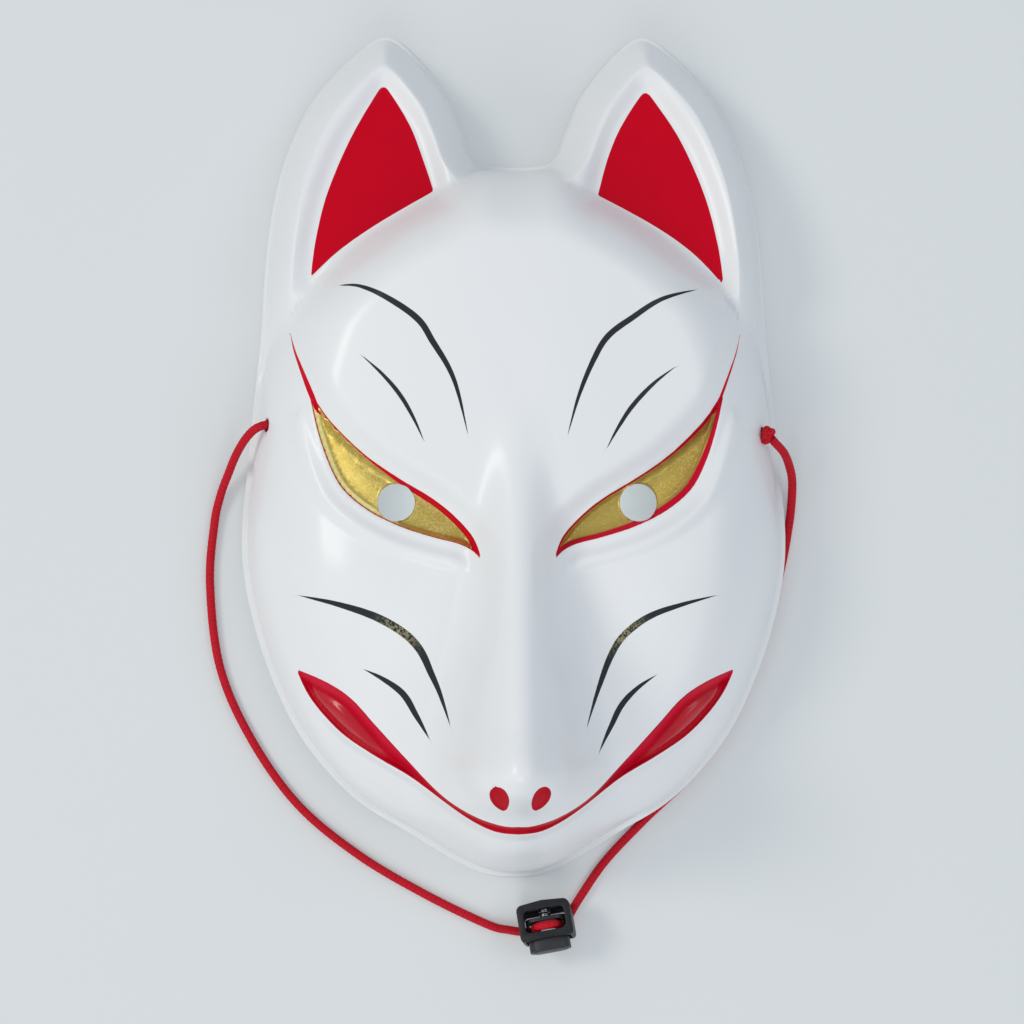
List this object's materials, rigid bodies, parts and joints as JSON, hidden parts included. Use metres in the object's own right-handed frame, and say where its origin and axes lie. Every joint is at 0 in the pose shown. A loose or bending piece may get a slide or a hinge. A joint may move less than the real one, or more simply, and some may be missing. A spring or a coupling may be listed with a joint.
{
  "type": "fox mask",
  "caption": "Moulded fox face mask with pointed ears and a long snout, lying face up with its elastic head cord and a spring cord lock.",
  "frame": {"origin": "middle of the mask's outline on the plane that its rim rests on", "axes": "+Z out of the face, +Y from the chin to the ears, +X to the right of a viewer facing the mask"},
  "size_m": [0.1759, 0.2728, 0.0858],
  "materials": {
    "shell": "satin",
    "elastic": "braided",
    "lock": "satin",
    "spring": "polished steel wire"
  },
  "bodies": {
    "mask": {"mask_shell": "shell", "cord_left_run": "elastic", "cord_lock_loop": "elastic", "cord_right_run": "elastic", "cord_knot_left": "elastic", "cord_knot_right": "elastic", "lock_barrel": "lock", "lock_spring": "spring"},
    "plunger": {"lock_plunger": "lock"}
  },
  "joints": [
    {"name": "plunger_press", "type": "slide", "parent": "mask", "child": "plunger", "axis": [-0.1587, 0.9481, -0.2756], "range_m": [0, 0.0018], "stiffness_N_per_m": 100, "deforming": ["lock_spring"]}
  ]
}
